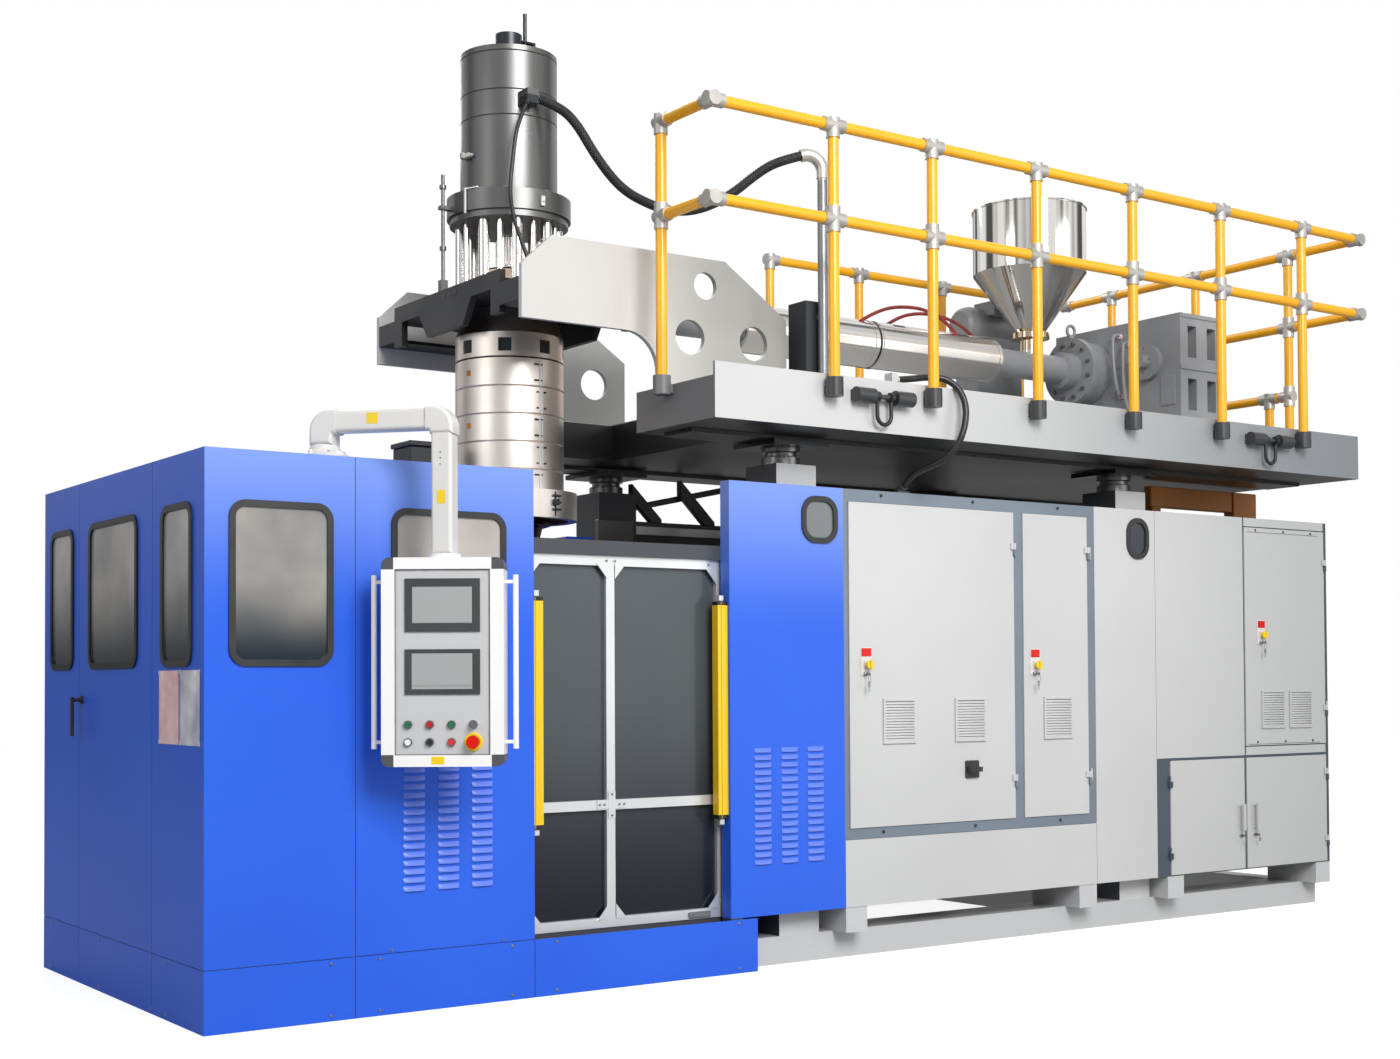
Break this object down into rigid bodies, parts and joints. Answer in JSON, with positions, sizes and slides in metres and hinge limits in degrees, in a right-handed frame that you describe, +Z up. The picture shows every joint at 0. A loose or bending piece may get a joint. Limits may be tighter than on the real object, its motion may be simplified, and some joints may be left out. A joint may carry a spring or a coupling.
{
  "type": "extrusion blow moulding machine",
  "caption": "Blow moulding machine: accumulator head on a jacked platform with extruder and guard rail, above an enclosed mould clamp and control cabinets.",
  "frame": {"origin": "on the floor, straight below the die of the accumulator head", "axes": "+X along the machine from the mould clamp to the gearbox end, +Y to the back, +Z up"},
  "size_m": [6.348, 2.3885, 4.235],
  "materials": {
    "blue_paint": "gloss",
    "cabinet_grey": "satin",
    "frame_grey": "satin",
    "platform_grey": "satin",
    "carrier_grey": "satin",
    "dark_paint": "satin",
    "yellow_paint": "gloss",
    "signal_yellow": "gloss",
    "stainless": "brushed",
    "polished_steel": "polished",
    "machined_steel": "machined",
    "door_aluminium": "satin",
    "fitting_grey": "cast",
    "window_glass": "clear",
    "seal_rubber": "matt",
    "white_enclosure": "gloss",
    "screen_dark": "gloss",
    "stop_red": "gloss",
    "handle_black": "matt",
    "gear_paint": "painted",
    "hose_black": "matt",
    "hose_braid": "braided"
  },
  "bodies": {
    "machine": {"base_frame": "frame_grey", "jack_columns": "platform_grey", "kick_plates": "blue_paint", "corner_cover": "blue_paint", "front_cover": "blue_paint", "rear_cover": "blue_paint", "right_cover": "blue_paint", "window_seals": "seal_rubber", "window_panes": "window_glass", "cabinet_cases": "frame_grey", "cabinet_panels": "cabinet_grey", "clamp_bed": "machined_steel", "light_curtains": "signal_yellow", "door_tracks": "door_aluminium", "arm_base": "white_enclosure"},
    "near_leaf": {"end_door_near": "blue_paint", "end_door_near_pane": "window_glass"},
    "far_leaf": {"end_door_far": "blue_paint", "end_door_far_pane": "window_glass"},
    "leaf_handle": {"end_door_handle": "handle_black"},
    "sliding_door": {"sliding_door_frame": "door_aluminium", "sliding_door_panes": "window_glass"},
    "arm": {"swing_arm": "white_enclosure"},
    "console": {"console_housing": "white_enclosure", "console_screens": "screen_dark"},
    "stop_button": {"emergency_stop": "stop_red"},
    "selector": {"key_selector": "machined_steel"},
    "large_door": {"cabinet_a_large_door": "cabinet_grey"},
    "small_door": {"cabinet_a_small_door": "cabinet_grey"},
    "upper_door": {"cabinet_b_upper_door": "cabinet_grey"},
    "lower_left_door": {"cabinet_b_lower_left_door": "cabinet_grey"},
    "lower_right_door": {"cabinet_b_lower_right_door": "cabinet_grey"},
    "switch": {"main_switch": "handle_black"},
    "left_platen": {"platen_left": "machined_steel"},
    "right_platen": {"platen_right": "machined_steel"},
    "pin": {"blow_pin": "polished_steel"},
    "platform": {"jack_rams": "machined_steel", "platform_frame": "platform_grey", "guard_rail_tubes": "yellow_paint", "guard_rail_fittings": "fitting_grey", "carrier_plates": "carrier_grey", "carrier_beam": "dark_paint", "head_columns": "polished_steel", "head_cylinder": "stainless", "heater_cover": "stainless", "die": "machined_steel", "extruder_barrel": "gear_paint", "barrel_cover": "stainless", "hopper": "polished_steel", "gearbox": "gear_paint", "motor": "gear_paint", "hose_mast": "fitting_grey", "mast_hose": "hose_braid", "head_cable": "hose_black", "platform_hose": "hose_black"},
    "piston": {"plunger": "polished_steel"},
    "core": {"mandrel": "polished_steel"},
    "feed_screw": {"screw": "polished_steel"},
    "left_shackle": {"shackle_left": "dark_paint"},
    "right_shackle": {"shackle_right": "dark_paint"}
  },
  "joints": [
    {"name": "end_door_near", "type": "hinge", "parent": "machine", "child": "near_leaf", "pos_m": [-1.76, -0.43, 1.1], "axis": [0, 0, 1], "range_deg": [0, 110]},
    {"name": "end_door_far", "type": "hinge", "parent": "machine", "child": "far_leaf", "pos_m": [-1.76, 0.975, 1.1], "axis": [0, 0, -1], "range_deg": [0, 110]},
    {"name": "end_door_handle", "type": "hinge", "parent": "near_leaf", "child": "leaf_handle", "pos_m": [-1.76, 0.43, 1.159], "axis": [-1, 0, 0], "range_deg": [0, 60]},
    {"name": "sliding_door", "type": "slide", "parent": "machine", "child": "sliding_door", "axis": [-1, 0, 0], "range_m": [0, 0.86]},
    {"name": "arm_swing", "type": "hinge", "parent": "machine", "child": "arm", "pos_m": [-1.27, -0.882, 2.1], "axis": [0, 0, 1], "range_deg": [-60, 0]},
    {"name": "console_swivel", "type": "hinge", "parent": "arm", "child": "console", "pos_m": [-0.955, -1.225, 1.69], "axis": [0, 0, 1], "range_deg": [-5, 60]},
    {"name": "emergency_stop", "type": "slide", "parent": "console", "child": "stop_button", "axis": [0.575, 0.8181, 0], "range_m": [0, 0.006], "stiffness_N_per_m": 600},
    {"name": "key_selector", "type": "hinge", "parent": "console", "child": "selector", "pos_m": [-0.8995, -1.33734, 1.071], "axis": [-0.575, -0.8181, 0], "range_deg": [0, 45]},
    {"name": "large_door", "type": "hinge", "parent": "machine", "child": "large_door", "pos_m": [2.156, -0.9853, 1.3], "axis": [0, 0, 1], "range_deg": [0, 110]},
    {"name": "small_door", "type": "hinge", "parent": "machine", "child": "small_door", "pos_m": [2.651, -0.9853, 1.3], "axis": [0, 0, 1], "range_deg": [0, 110]},
    {"name": "upper_door", "type": "hinge", "parent": "machine", "child": "upper_door", "pos_m": [4.499, -0.9853, 1.4], "axis": [0, 0, 1], "range_deg": [0, 110]},
    {"name": "lower_left_door", "type": "hinge", "parent": "machine", "child": "lower_left_door", "pos_m": [3.24, -0.9853, 0.5], "axis": [0, 0, -1], "range_deg": [0, 110]},
    {"name": "lower_right_door", "type": "hinge", "parent": "machine", "child": "lower_right_door", "pos_m": [4.499, -0.9853, 0.5], "axis": [0, 0, 1], "range_deg": [0, 110]},
    {"name": "main_switch", "type": "hinge", "parent": "large_door", "child": "switch", "pos_m": [1.873, -0.978, 0.812], "axis": [0, 1, 0], "range_deg": [0, 90]},
    {"name": "platen_left", "type": "slide", "parent": "machine", "child": "left_platen", "axis": [1, 0, 0], "range_m": [0, 0.23]},
    {"name": "platen_right", "type": "slide", "parent": "machine", "child": "right_platen", "axis": [-1, 0, 0], "range_m": [0, 0.23]},
    {"name": "blow_pin_lift", "type": "slide", "parent": "machine", "child": "pin", "axis": [0, 0, 1], "range_m": [0, 0.12]},
    {"name": "platform_lift", "type": "slide", "parent": "machine", "child": "platform", "axis": [0, 0, 1], "range_m": [0, 0.1]},
    {"name": "plunger", "type": "slide", "parent": "platform", "child": "piston", "axis": [0, 0, -1], "range_m": [0, 0.2]},
    {"name": "mandrel", "type": "slide", "parent": "platform", "child": "core", "axis": [0, 0, -1], "range_m": [0, 0.012]},
    {"name": "screw", "type": "hinge", "parent": "platform", "child": "feed_screw", "pos_m": [0.222, 0, 2.948], "axis": [1, 0, 0], "continuous": true},
    {"name": "shackle_left", "type": "hinge", "parent": "platform", "child": "left_shackle", "pos_m": [1.161, -1.209, 2.44], "axis": [1, 0, 0], "range_deg": [-90, 8]},
    {"name": "shackle_right", "type": "hinge", "parent": "platform", "child": "right_shackle", "pos_m": [3.76, -1.209, 2.44], "axis": [1, 0, 0], "range_deg": [-90, 8]}
  ],
  "couplings": [
    {"joint": "platen_right", "follows": "platen_left", "ratio": 1}
  ]
}
